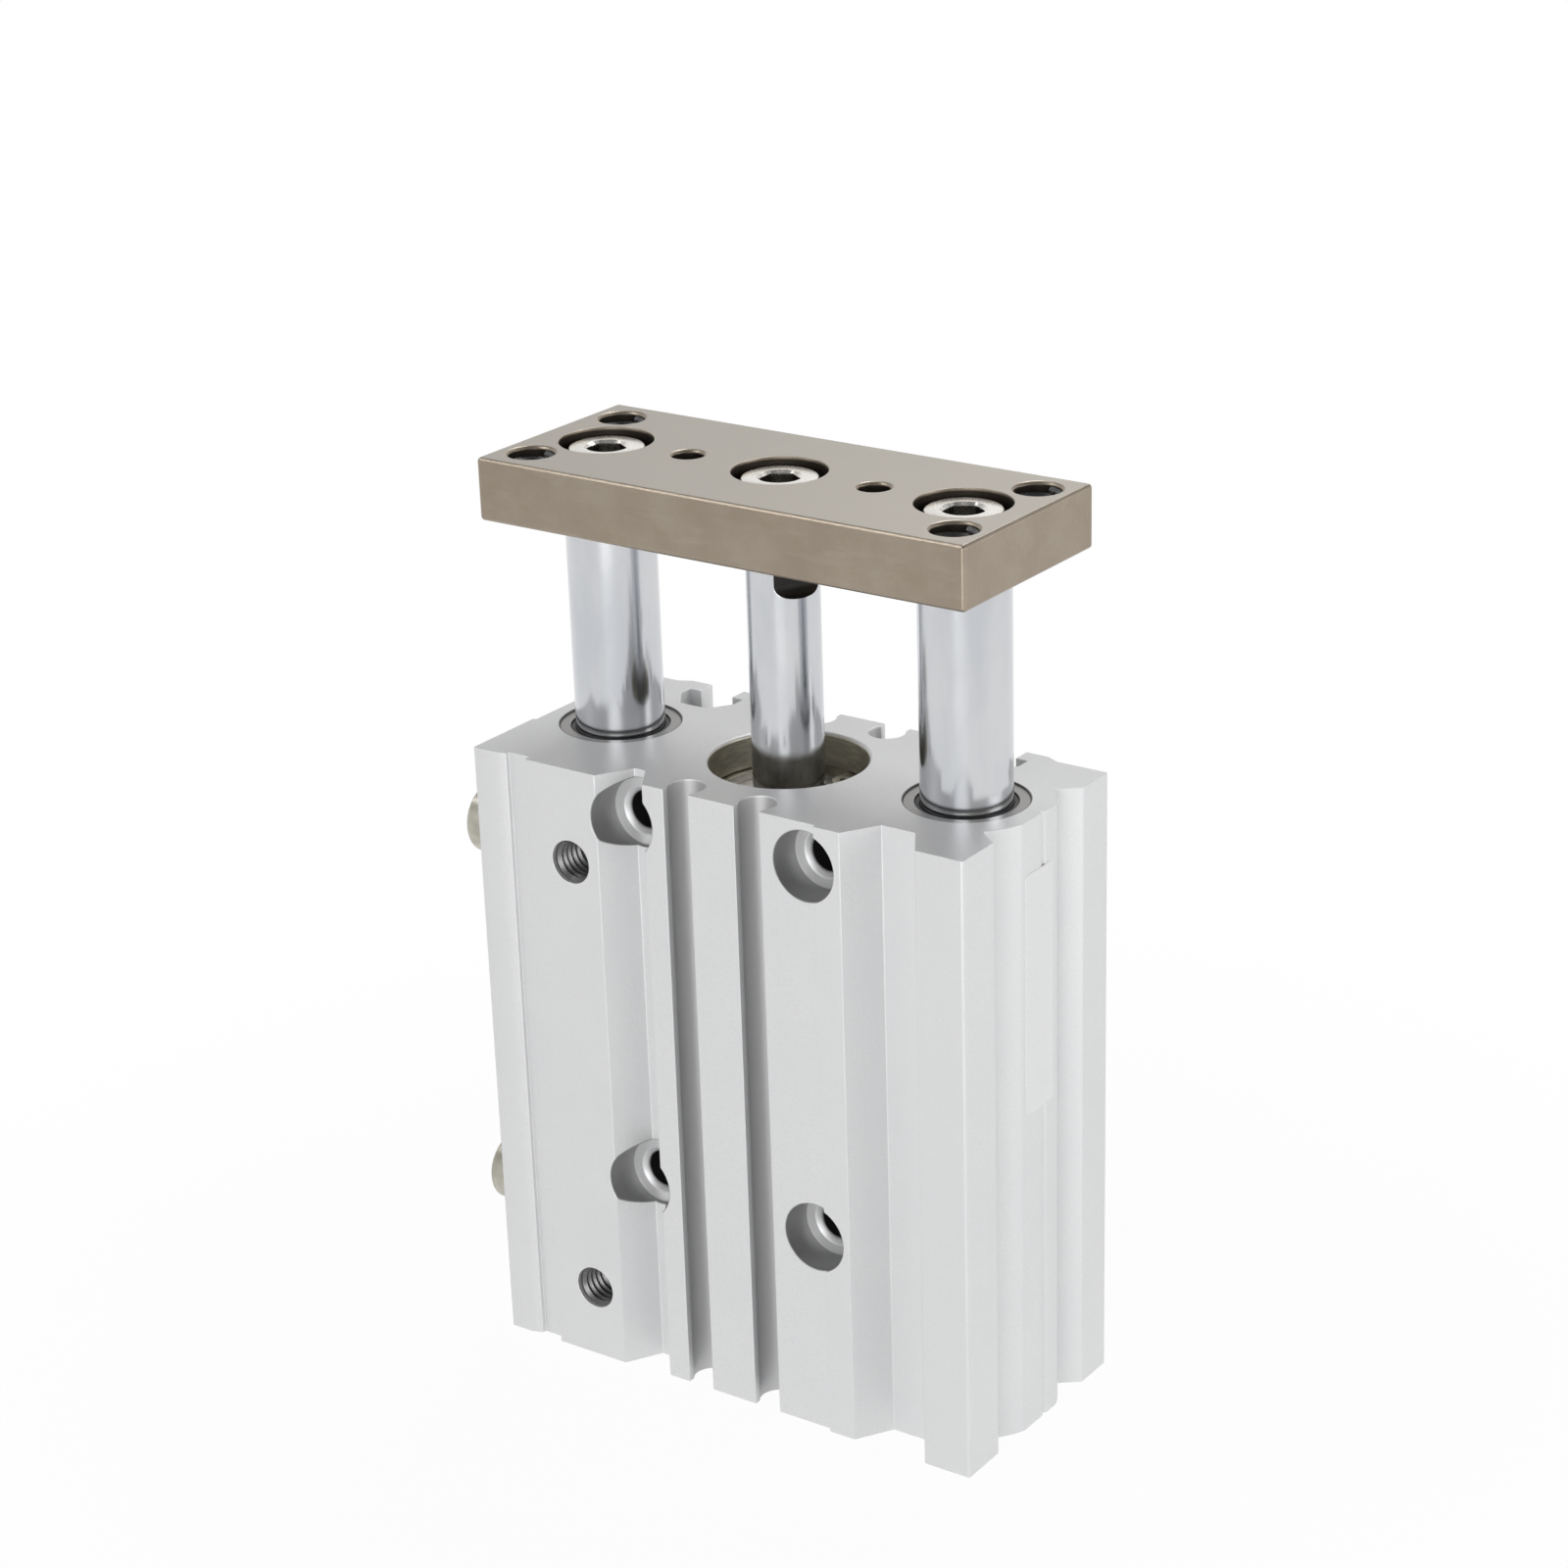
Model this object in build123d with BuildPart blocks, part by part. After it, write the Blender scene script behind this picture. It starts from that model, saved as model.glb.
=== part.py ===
from build123d import *
import os
from math import hypot

# Compact guided pneumatic cylinder. An extruded body holds the bore between two guide rods, and one end
# plate joins the piston rod and both guide rods, so the plate slides without turning.
# The origin is the centre of the body's head-end face. +Z runs along the rods to the plate, +X across the
# width, and +Y to the back, where the T-slots are. All lengths are millimetres.

# Body extrusion; its width follows from the guide rods
guide_spacing = 46.0
guide_end_distance = 9.0
body_depth = 30.0
corner_radius = 0.3

# Stroke and the pose that the model rests in
stroke = 40.0
rest_extension = 19.5
plate_gap = 6.0

# Clearances
seat_clearance = 0.03
running_clearance = 0.05
piston_clearance = 0.1
end_clearance = 0.15

# Screw threads, drawn at their major radius
thread_radius = 2.5
mouth_chamfer = 0.3

# Bore and the retaining rings at its two ends
bore_radius = 8.0
relief_depth = 0.25
rod_relief_length = 2.0
head_relief_length = 3.2
ring_thickness = 1.0
ring_slack = 0.1
ring_groove_depth = 0.55
ring_reach = 0.75
ring_ear_radius = 1.6
ring_ear_hole = 0.7
ring_gap_angle = 26.0

# Rod end of the bore
recess_step = 0.8
recess_depth = 5.0
collar_length = 4.8
gland_wall = 1.4
gland_depth = 2.6

# Head end of the bore
head_seat_step = 0.5
head_ring_inset = 1.0
head_cover_length = 4.7
head_dish_radius = 4.5
head_dish_depth = 0.6

# Ring seals in the collar, the head cover and the piston
gasket_width = 1.4
gasket_depth = 1.0
gasket_land = 1.4
gasket_slack = 0.1
piston_seal_width = 2.2
piston_seal_depth = 1.6

# Piston, from the head side to the rod side
bumper_thickness = 1.0
bumper_inset = 1.0
piston_head_length = 5.0
magnet_length = 3.5
magnet_inset = 0.4
piston_rod_length = 5.6
caulk_flange = 1.0
caulk_depth = 1.0

# Piston rod
rod_radius = 4.0
spigot_step = 1.0
wrench_wall = 0.4
wrench_length = 4.6
wrench_corner_radius = 1.5
wrench_angle = -25.5

# Guide rods and their bushes
guide_radius = 5.0
guide_tip_inset = 1.0
guide_tip_chamfer = 0.8
guide_bore_room = 1.3
bush_wall = 1.8
bush_length = 12.0
bush_inset = 0.2
bush_seat_depth = 35.0
wiper_wall = 0.55
wiper_depth = 1.4
wiper_inset = 0.2

# End plate and its screws
plate_end_inset = 1.0
plate_depth = 25.0
plate_thickness = 7.0
plate_edge = 0.3
plate_hole_end_inset = 4.0
plate_hole_side_inset = 4.5
locating_hole_radius = 1.7
locating_spacing = 24.0
bolt_head_radius = 4.25
bolt_head_height = 3.75
bolt_head_inset = 0.65
bolt_head_clearance = 0.95
bolt_hole_clearance = 0.25
bolt_hex = 4.0
bolt_hex_depth = 2.2
bolt_engagement = 11.0
bolt_end_room = 1.5

# Mounting holes through the body, counterbored at the front and tapped at the back
mount_spacing_x = 24.0
mount_spacing_z = 44.0
mount_top_inset = 5.0
mount_hole_radius = 2.15
mount_bore_radius = 4.0
mount_bore_depth = 4.5
mount_sink = 0.6
mount_thread_depth = 12.0

# Tapped holes in the head-end face
head_hole_inset = 4.0
head_hole_depth = 10.0

# Air ports, the front ones a little inside the left guide rod
port_offset = 3.9
port_depth = 5.0
rod_port_inset = 1.2
head_port_inset = 2.0
side_port_depth = 6.0
side_port_rise = 9.8
side_port_lift = 0.6
channel_radius = 1.0
channel_plug_radius = 1.3
channel_plug_length = 2.5
channel_plug_inset = 0.3

# Plugs in the side ports
plug_head_radius = 4.0
plug_head_height = 2.2
plug_hex = 2.5
plug_hex_depth = 1.4
plug_shank_length = 4.4
plug_gasket_thickness = 0.6

# Front face of the extrusion
rib_band_reach = 1.5
rib_band_drop = 0.5
valley_mouth = 6.4
valley_floor = 1.5
valley_depth = 4.0
groove_offset = 1.5
groove_mouth = 9.4
groove_floor = 4.2
groove_depth = 4.1
side_post_width = 2.8
side_slope_width = 1.5
side_slope_drop = 0.45
side_strip_width = 3.0
side_strip_drop = 0.9

# Slots for position switches, the same on the front and the back
switch_slot_x = 4.65
switch_slot_radius = 2.1
switch_slot_mouth = 3.3

# Back face of the extrusion
back_band_width = 16.4
back_corner_width = 8.0
back_corner_slope = 1.6
back_corner_drop = 0.8
tee_offset = 4.0
tee_mouth = 4.4
tee_lip = 2.3
tee_width = 7.4
tee_shoulder = 4.0
tee_depth = 6.7
tee_floor = 3.7

# Ends of the extrusion
bulge_radius = 9.6
bulge_flat = 3.3
bulge_shoulder = 5.1
bulge_drop = 0.9
notch_apex = 7.1
notch_outer = 9.0
notch_depth = 2.5
boss_edge = -4.4
boss_step = 0.4
hair_groove_y = 0.8
hair_groove_size = 0.4

# Levels along the bore, from the head-end face up
head_cover_z = head_ring_inset + ring_thickness + ring_slack
head_shoulder_z = head_cover_z + head_cover_length
piston_length = 2 * bumper_thickness + piston_head_length + magnet_length + piston_rod_length
collar_z = head_shoulder_z + 2 * end_clearance + piston_length + stroke
collar_top_z = collar_z + collar_length
body_length = collar_top_z + recess_depth

# Levels on the moving side, in the pose that the model rests in
plate_z = body_length + plate_gap + rest_extension
plate_top_z = plate_z + plate_thickness
rear_bumper_z = head_shoulder_z + end_clearance + rest_extension
piston_head_z = rear_bumper_z + bumper_thickness
magnet_z = piston_head_z + piston_head_length
piston_rod_side_z = magnet_z + magnet_length
front_bumper_z = piston_rod_side_z + piston_rod_length
guide_tip_z = guide_tip_inset + rest_extension

# Radii that fit one another
recess_radius = bore_radius + recess_step
head_seat_radius = bore_radius + head_seat_step
relief_radius = bore_radius + relief_depth
bumper_radius = bore_radius - bumper_inset
gland_radius = rod_radius + gland_wall
spigot_radius = rod_radius - spigot_step
caulk_radius = spigot_radius + caulk_flange
bush_radius = guide_radius + bush_wall
guide_bore_radius = guide_radius + guide_bore_room

# Places across the width and the depth
guide_x = guide_spacing / 2
body_width = guide_spacing + 2 * guide_end_distance
mount_x = mount_spacing_x / 2
port_x = port_offset - guide_x
valley_x = -mount_x
rib_band_left = valley_x
rib_band_right = mount_x + rib_band_reach
groove_x = guide_x - groove_offset
side_post_x = side_post_width - body_width / 2
side_strip_x = side_post_x + side_slope_width
tee_x = guide_x - tee_offset
back_corner_x = body_width / 2 - back_corner_width
head_hole_x = body_width / 2 - head_hole_inset
head_hole_y = body_depth / 2 - head_hole_inset
plate_width = body_width - 2 * plate_end_inset
plate_hole_spacing_x = plate_width - 2 * plate_hole_end_inset
plate_hole_spacing_y = plate_depth - 2 * plate_hole_side_inset

# Heights of the mounting holes, the ports and the plate screws
mount_top_z = body_length - mount_top_inset
mount_mid_z = mount_top_z - mount_spacing_z / 2
rod_port_z = collar_z - rod_port_inset
head_port_z = head_shoulder_z + head_port_inset
side_port_y = port_depth - body_depth / 2
side_port_levels = (head_port_z + side_port_rise, rod_port_z + side_port_lift)
bolt_seat_z = plate_top_z - bolt_head_inset - bolt_head_height
bolt_tip_z = plate_z - bolt_engagement
bolt_floor_z = bolt_tip_z - bolt_end_room
past = 1.0

front_face = Plane(origin=(0, -body_depth / 2, 0), x_dir=(1, 0, 0), z_dir=(0, -1, 0))
mount_floor = front_face.offset(-mount_bore_depth)
back_face = Plane(origin=(0, body_depth / 2, 0), x_dir=(-1, 0, 0), z_dir=(0, 1, 0))
left_end = Plane(origin=(-body_width / 2, side_port_y, 0), x_dir=(0, -1, 0), z_dir=(-1, 0, 0))
head_end = Plane(origin=(0, 0, 0), x_dir=(-1, 0, 0), z_dir=(0, 0, -1))


def cut_outline(*points):
    """Take a closed, straight-sided outline out of the sketch that is being drawn."""
    with BuildLine() as outline:
        Polyline(*points, close=True)
    make_face(outline.edges(), mode=Mode.SUBTRACT)


def tube(outer, inner, low, high, mode=Mode.ADD):
    """Extrude a ring about the Z axis between two levels of the part that is being built."""
    with BuildSketch(Plane.XY.offset(low)) as ring:
        Circle(outer)
        Circle(inner, mode=Mode.SUBTRACT)
    extrude(ring.sketch, amount=high - low, mode=mode)


def drill(plane, places, radius, depth):
    """Drill round blind holes with a chamfered mouth into a plane of the part that is being built."""
    with BuildSketch(plane) as holes:
        with Locations(*places):
            Circle(radius)
    extrude(holes.sketch, amount=-depth, mode=Mode.SUBTRACT)
    with Locations(plane):
        with Locations(*places):
            Cone(radius - mouth_chamfer, radius + mouth_chamfer, 2 * mouth_chamfer, mode=Mode.SUBTRACT)


# Cylinder body: the notch at each end of the extrusion, drawn once at the right and the back
with BuildSketch() as end_notch:
    with BuildLine():
        bulge_start = (body_width / 2, bulge_flat)
        bulge_end = (body_width / 2 - bulge_drop, bulge_shoulder)
        RadiusArc(bulge_start, bulge_end, -bulge_radius)
        Polyline(
            bulge_end,
            (body_width / 2 - notch_depth, notch_apex),
            (body_width / 2, notch_outer),
            (body_width / 2 + past, notch_outer),
            (body_width / 2 + past, bulge_flat),
            bulge_start,
        )
    make_face()

# Cylinder body: the outline of the extrusion
with BuildSketch() as body_outline:
    Rectangle(body_width, body_depth)
    # The band of low ribs at the front and at the back
    rib_band_width = rib_band_right - rib_band_left
    with Locations(((rib_band_left + rib_band_right) / 2, rib_band_drop - body_depth / 2)):
        Rectangle(rib_band_width, 2 * rib_band_drop, align=(Align.CENTER, Align.MAX), mode=Mode.SUBTRACT)
    with Locations((0, body_depth / 2 - rib_band_drop)):
        Rectangle(back_band_width, 2 * rib_band_drop, align=(Align.CENTER, Align.MIN), mode=Mode.SUBTRACT)
    # The strip that is set back beside the port face, with a slope down to it from the left
    cut_outline(
        (side_post_x, -body_depth / 2 - past),
        (side_post_x, -body_depth / 2),
        (side_strip_x, side_slope_drop - body_depth / 2),
        (side_strip_x, side_strip_drop - body_depth / 2),
        (side_strip_x + side_strip_width, side_strip_drop - body_depth / 2),
        (side_strip_x + side_strip_width, -body_depth / 2 - past),
    )
    # The two open grooves with sloping walls
    for centre, mouth, floor, depth in (
        (valley_x, valley_mouth, valley_floor, valley_depth),
        (groove_x, groove_mouth, groove_floor, groove_depth),
    ):
        cut_outline(
            (centre - mouth / 2, -body_depth / 2 - past),
            (centre - mouth / 2, -body_depth / 2),
            (centre - floor / 2, depth - body_depth / 2),
            (centre + floor / 2, depth - body_depth / 2),
            (centre + mouth / 2, -body_depth / 2),
            (centre + mouth / 2, -body_depth / 2 - past),
        )
    # The slots for position switches
    slot_centre_y = body_depth / 2 - rib_band_drop - switch_slot_radius
    for side in (-1, 1):
        with Locations((side * switch_slot_x, -slot_centre_y), (side * switch_slot_x, slot_centre_y)):
            Circle(switch_slot_radius, mode=Mode.SUBTRACT)
        with Locations((side * switch_slot_x, -slot_centre_y)):
            Rectangle(
                switch_slot_mouth,
                switch_slot_radius + past,
                align=(Align.CENTER, Align.MAX),
                mode=Mode.SUBTRACT,
            )
        with Locations((side * switch_slot_x, slot_centre_y)):
            Rectangle(
                switch_slot_mouth,
                switch_slot_radius + past,
                align=(Align.CENTER, Align.MIN),
                mode=Mode.SUBTRACT,
            )
    # The T-slots and the set-back corners of the back face
    for side in (-1, 1):
        cut_outline(
            (side * (tee_x - tee_mouth / 2), body_depth / 2 + past),
            (side * (tee_x - tee_mouth / 2), body_depth / 2 - tee_lip),
            (side * (tee_x - tee_width / 2), body_depth / 2 - tee_lip),
            (side * (tee_x - tee_width / 2), body_depth / 2 - tee_shoulder),
            (side * (tee_x - tee_floor / 2), body_depth / 2 - tee_depth),
            (side * (tee_x + tee_floor / 2), body_depth / 2 - tee_depth),
            (side * (tee_x + tee_width / 2), body_depth / 2 - tee_shoulder),
            (side * (tee_x + tee_width / 2), body_depth / 2 - tee_lip),
            (side * (tee_x + tee_mouth / 2), body_depth / 2 - tee_lip),
            (side * (tee_x + tee_mouth / 2), body_depth / 2 + past),
        )
        cut_outline(
            (side * back_corner_x, body_depth / 2),
            (side * (back_corner_x + back_corner_slope), body_depth / 2 - back_corner_drop),
            (side * (body_width / 2 + past), body_depth / 2 - back_corner_drop),
            (side * (body_width / 2 + past), body_depth / 2 + past),
            (side * back_corner_x, body_depth / 2 + past),
        )
    # The notches beside the guide rods: both at the right end, and the back one at the left end
    add(end_notch.sketch, mode=Mode.SUBTRACT)
    add(mirror(end_notch.sketch, about=Plane.XZ), mode=Mode.SUBTRACT)
    add(mirror(end_notch.sketch, about=Plane.YZ), mode=Mode.SUBTRACT)
    # The step behind the flat boss of the side ports, and the hair groove at the right end
    cut_outline(
        (-body_width / 2 - past, boss_edge),
        (-body_width / 2 + boss_step, boss_edge),
        (-body_width / 2 + boss_step, notch_apex),
        (-body_width / 2 - past, notch_apex),
    )
    cut_outline(
        (body_width / 2 + hair_groove_size, hair_groove_y - 2 * hair_groove_size),
        (body_width / 2 - hair_groove_size, hair_groove_y),
        (body_width / 2 + hair_groove_size, hair_groove_y + 2 * hair_groove_size),
    )
    end_x = body_width / 2 - corner_radius
    end_corners = body_outline.vertices().filter_by(lambda corner: abs(corner.X) > end_x)
    fillet(end_corners.filter_by(lambda corner: abs(corner.Y) > notch_outer + corner_radius), corner_radius)

# Cylinder body: the bore with its relief grooves, seats and ring grooves, as one turned outline
head_ring_groove_radius = head_seat_radius + ring_groove_depth
recess_ring_groove_radius = recess_radius + ring_groove_depth
ring_groove_width = ring_thickness + ring_slack
with BuildSketch(Plane.XZ) as bore_outline:
    with BuildLine():
        Polyline(
            (0, -past),
            (head_seat_radius + mouth_chamfer + past, -past),
            (head_seat_radius, mouth_chamfer),
            (head_seat_radius, head_ring_inset),
            (head_ring_groove_radius, head_ring_inset),
            (head_ring_groove_radius, head_cover_z),
            (head_seat_radius, head_cover_z),
            (head_seat_radius, head_shoulder_z),
            (relief_radius, head_shoulder_z),
            (relief_radius, head_shoulder_z + head_relief_length),
            (bore_radius, head_shoulder_z + head_relief_length),
            (bore_radius, collar_z - rod_relief_length),
            (relief_radius, collar_z - rod_relief_length),
            (relief_radius, collar_z),
            (recess_radius, collar_z),
            (recess_radius, collar_top_z),
            (recess_ring_groove_radius, collar_top_z),
            (recess_ring_groove_radius, collar_top_z + ring_groove_width),
            (recess_radius, collar_top_z + ring_groove_width),
            (recess_radius, body_length - mouth_chamfer),
            (recess_radius + mouth_chamfer + past, body_length + past),
            (0, body_length + past),
            close=True,
        )
    make_face()

with BuildPart() as cylinder_body:
    extrude(body_outline.sketch, amount=body_length)
    revolve(bore_outline.sketch, axis=Axis.Z, mode=Mode.SUBTRACT)
    # Guide bores, wider at the rod end for the bushes
    with Locations((-guide_x, 0, body_length), (guide_x, 0, body_length)):
        CounterBoreHole(guide_bore_radius, bush_radius, bush_seat_depth)
        Cone(bush_radius - mouth_chamfer, bush_radius + mouth_chamfer, 2 * mouth_chamfer, mode=Mode.SUBTRACT)
    # Mounting holes, with a small sink on the floor of each counterbore
    with Locations(front_face):
        with Locations((0, mount_mid_z)):
            with GridLocations(mount_spacing_x, mount_spacing_z, 2, 2):
                CounterBoreHole(mount_hole_radius, mount_bore_radius, mount_bore_depth)
    with Locations(mount_floor):
        with Locations((0, mount_mid_z)):
            with GridLocations(mount_spacing_x, mount_spacing_z, 2, 2):
                CounterSinkHole(mount_hole_radius, mount_hole_radius + mount_sink, counter_sink_angle=90)
    # Their tapped ends at the back, and the tapped holes of the head-end face
    mount_levels = (mount_top_z, mount_top_z - mount_spacing_z)
    mount_places = [(x, level) for x in (-mount_x, mount_x) for level in mount_levels]
    head_places = [(x, y) for x in (-head_hole_x, head_hole_x) for y in (-head_hole_y, head_hole_y)]
    drill(back_face, mount_places, thread_radius, mount_thread_depth)
    drill(head_end, head_places, thread_radius, head_hole_depth)
    # Air ports at the front and at the left end
    drill(front_face, [(port_x, head_port_z), (port_x, rod_port_z)], thread_radius, port_depth)
    drill(left_end, [(0, level) for level in side_port_levels], thread_radius, side_port_depth)
    # Air channels: along from the side ports, up from the head end, and in from the front ports to the bore
    with BuildSketch(left_end):
        with Locations(*[(0, level) for level in side_port_levels]):
            Circle(channel_radius)
    extrude(amount=-(port_x + body_width / 2), mode=Mode.SUBTRACT)
    with BuildSketch(Plane.XY):
        with Locations((port_x, side_port_y)):
            Circle(channel_radius)
    extrude(amount=side_port_levels[0], mode=Mode.SUBTRACT)
    with BuildSketch(Plane.XY):
        with Locations((port_x, side_port_y)):
            Circle(channel_plug_radius + seat_clearance)
    extrude(amount=channel_plug_inset + channel_plug_length, mode=Mode.SUBTRACT)
    for level in (head_port_z, rod_port_z):
        with BuildSketch(Plane(origin=(port_x, side_port_y, level), z_dir=(-port_x, -side_port_y, 0))):
            Circle(channel_radius)
        extrude(amount=hypot(port_x, side_port_y) - bore_radius + channel_radius, mode=Mode.SUBTRACT)

# Pressed-in plug that closes the upright air channel at the head end
with BuildPart() as channel_plug:
    with BuildSketch(Plane.XY.offset(channel_plug_inset)):
        with Locations((port_x, side_port_y)):
            Circle(channel_plug_radius)
    extrude(amount=channel_plug_length)

# Rod collar: the bush and seal carrier that closes the rod end of the bore
collar_radius = recess_radius - seat_clearance
rod_hole_radius = rod_radius + running_clearance
gasket_groove_radius = collar_radius - gasket_depth
collar_groove_z = collar_z + gasket_land
collar_groove_top_z = collar_groove_z + gasket_width + gasket_slack
with BuildPart() as rod_collar:
    tube(collar_radius, rod_hole_radius, collar_z, collar_top_z)
    tube(collar_radius + past, gasket_groove_radius, collar_groove_z, collar_groove_top_z, Mode.SUBTRACT)
    with BuildSketch(Plane.XY.offset(collar_top_z)):
        Circle(gland_radius)
    extrude(amount=-gland_depth, mode=Mode.SUBTRACT)
    chamfer(rod_collar.faces().sort_by(Axis.Z)[-1].edges(), mouth_chamfer)

with BuildPart() as collar_gasket:
    collar_gasket_radius = gasket_groove_radius + seat_clearance
    tube(collar_radius, collar_gasket_radius, collar_groove_z, collar_groove_z + gasket_width)

# Rod seal: a rubber lip ring in the collar's gland, with the channel that spreads its lip
rod_seal_inner = rod_radius + running_clearance
rod_seal_outer = gland_radius - seat_clearance
rod_seal_middle = (rod_seal_inner + rod_seal_outer) / 2
rod_seal_top_z = collar_top_z - mouth_chamfer
rod_seal_channel = (rod_seal_outer - rod_seal_inner) / 3
with BuildPart() as rod_seal:
    tube(rod_seal_outer, rod_seal_inner, collar_top_z - gland_depth, rod_seal_top_z)
    tube(
        rod_seal_middle + rod_seal_channel / 2,
        rod_seal_middle - rod_seal_channel / 2,
        rod_seal_top_z - rod_seal_channel,
        rod_seal_top_z,
        Mode.SUBTRACT,
    )

# Head cover: the dished disc that closes the other end of the bore
head_cover_radius = head_seat_radius - seat_clearance
head_groove_radius = head_cover_radius - gasket_depth
head_groove_z = head_cover_z + gasket_land
head_groove_top_z = head_groove_z + gasket_width + gasket_slack
with BuildPart() as head_cover:
    with BuildSketch(Plane.XY.offset(head_cover_z)):
        Circle(head_cover_radius)
    extrude(amount=head_cover_length)
    tube(head_cover_radius + past, head_groove_radius, head_groove_z, head_groove_top_z, Mode.SUBTRACT)
    with BuildSketch(Plane.XY.offset(head_cover_z)):
        Circle(head_dish_radius)
    extrude(amount=head_dish_depth, mode=Mode.SUBTRACT)

with BuildPart() as head_gasket:
    tube(head_cover_radius, head_groove_radius + seat_clearance, head_groove_z, head_groove_z + gasket_width)


def draw_retaining_ring(groove_radius, seat_radius):
    """Draw a spring ring for a bore: an open ring that fills the groove, with an eared gap for pliers."""
    outer = groove_radius - seat_clearance
    inner = seat_radius - ring_reach
    Circle(outer)
    Circle(inner, mode=Mode.SUBTRACT)
    cut_outline(
        (0, 0),
        Vector(2 * outer, 0).rotate(Axis.Z, 90 - ring_gap_angle / 2),
        Vector(2 * outer, 0).rotate(Axis.Z, 90 + ring_gap_angle / 2),
    )
    ear_centre = seat_radius - ring_ear_radius - ring_slack
    with PolarLocations(ear_centre, 2, 90 - ring_gap_angle, 4 * ring_gap_angle):
        Circle(ring_ear_radius)
        Circle(ring_ear_hole, mode=Mode.SUBTRACT)


with BuildPart() as collar_retaining_ring:
    with BuildSketch(Plane.XY.offset(collar_top_z)):
        draw_retaining_ring(recess_ring_groove_radius, recess_radius)
    extrude(amount=ring_thickness)

with BuildPart() as head_retaining_ring:
    with BuildSketch(Plane.XY.offset(head_cover_z - ring_thickness)):
        draw_retaining_ring(head_ring_groove_radius, head_seat_radius)
    extrude(amount=ring_thickness)

# Plain bushes: one at the rod end and one deeper in each guide bore
bush_outer = bush_radius - seat_clearance
bush_inner = guide_radius + running_clearance
front_bush_top_z = body_length - bush_inset
rear_bush_z = body_length - bush_seat_depth
wiper_seat_radius = bush_inner + wiper_wall
wiper_z = front_bush_top_z - wiper_depth
guide_pieces = {}
for side, side_name in ((-1, "left"), (1, "right")):
    centre = side * guide_x
    with BuildPart() as front_bush:
        with BuildSketch(Plane.XY.offset(front_bush_top_z - bush_length)):
            with Locations((centre, 0)):
                Circle(bush_outer)
                Circle(bush_inner, mode=Mode.SUBTRACT)
        extrude(amount=bush_length)
        with BuildSketch(Plane.XY.offset(front_bush_top_z)):
            with Locations((centre, 0)):
                Circle(wiper_seat_radius)
        extrude(amount=-wiper_depth, mode=Mode.SUBTRACT)
    guide_pieces["front_bush_" + side_name] = front_bush

    with BuildPart() as rear_bush:
        with BuildSketch(Plane.XY.offset(rear_bush_z)):
            with Locations((centre, 0)):
                Circle(bush_outer)
                Circle(bush_inner, mode=Mode.SUBTRACT)
        extrude(amount=bush_length)
    guide_pieces["rear_bush_" + side_name] = rear_bush

    with BuildPart() as bush_wiper:
        with BuildSketch(Plane.XY.offset(wiper_z)):
            with Locations((centre, 0)):
                Circle(wiper_seat_radius - seat_clearance)
                Circle(bush_inner, mode=Mode.SUBTRACT)
        extrude(amount=wiper_depth - wiper_inset)
    guide_pieces["bush_wiper_" + side_name] = bush_wiper

    # Guide rod: hard ground, tapped at the top for its plate screw and chamfered at the tip
    with BuildPart() as guide_rod:
        with BuildSketch(Plane.XY.offset(guide_tip_z)):
            with Locations((centre, 0)):
                Circle(guide_radius)
        extrude(amount=plate_z - guide_tip_z)
        with BuildSketch(Plane.XY.offset(plate_z)):
            with Locations((centre, 0)):
                Circle(thread_radius)
        extrude(amount=bolt_floor_z - plate_z, mode=Mode.SUBTRACT)
        chamfer(guide_rod.faces().sort_by(Axis.Z)[0].edges(), guide_tip_chamfer)
    guide_pieces["guide_rod_" + side_name] = guide_rod

# Plugs and gaskets of the two side ports
with BuildPart() as port_plugs:
    side_port_places = [(0, level) for level in side_port_levels]
    with BuildSketch(left_end):
        with Locations(*side_port_places):
            Circle(thread_radius - running_clearance)
    extrude(amount=-plug_shank_length)
    with BuildSketch(left_end):
        with Locations(*side_port_places):
            Circle(thread_radius - running_clearance)
    extrude(amount=plug_gasket_thickness)
    with BuildSketch(left_end.offset(plug_gasket_thickness)):
        with Locations(*side_port_places):
            Circle(plug_head_radius)
    extrude(amount=plug_head_height)
    chamfer(port_plugs.edges().group_by(Axis.X)[0], mouth_chamfer)
    with BuildSketch(left_end.offset(plug_gasket_thickness + plug_head_height)):
        with Locations(*side_port_places):
            RegularPolygon(plug_hex / 2, 6, major_radius=False)
    extrude(amount=-plug_hex_depth, mode=Mode.SUBTRACT)

with BuildPart() as plug_gaskets:
    with BuildSketch(left_end):
        with Locations(*side_port_places):
            Circle(plug_head_radius - seat_clearance)
            Circle(thread_radius, mode=Mode.SUBTRACT)
    extrude(amount=plug_gasket_thickness)

# End plate: nickel-plated steel, with three sunk screws, four tapped corners and two locating holes
bolt_places = ((-guide_x, 0), (0, 0), (guide_x, 0))
bolt_bore_radius = bolt_head_radius + bolt_head_clearance
bolt_hole_radius = thread_radius + bolt_hole_clearance
with BuildPart() as end_plate:
    with BuildSketch(Plane.XY.offset(plate_z)):
        Rectangle(plate_width, plate_depth)
    extrude(amount=plate_thickness)
    chamfer(end_plate.edges(), plate_edge)
    with Locations(Plane.XY.offset(plate_top_z)):
        with Locations(*bolt_places):
            CounterBoreHole(bolt_hole_radius, bolt_bore_radius, bolt_head_inset + bolt_head_height)
        with GridLocations(plate_hole_spacing_x, plate_hole_spacing_y, 2, 2):
            CounterSinkHole(thread_radius, thread_radius + mouth_chamfer, counter_sink_angle=90)
        with Locations((-locating_spacing / 2, 0), (locating_spacing / 2, 0)):
            CounterSinkHole(locating_hole_radius, locating_hole_radius + mouth_chamfer, counter_sink_angle=90)


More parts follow.
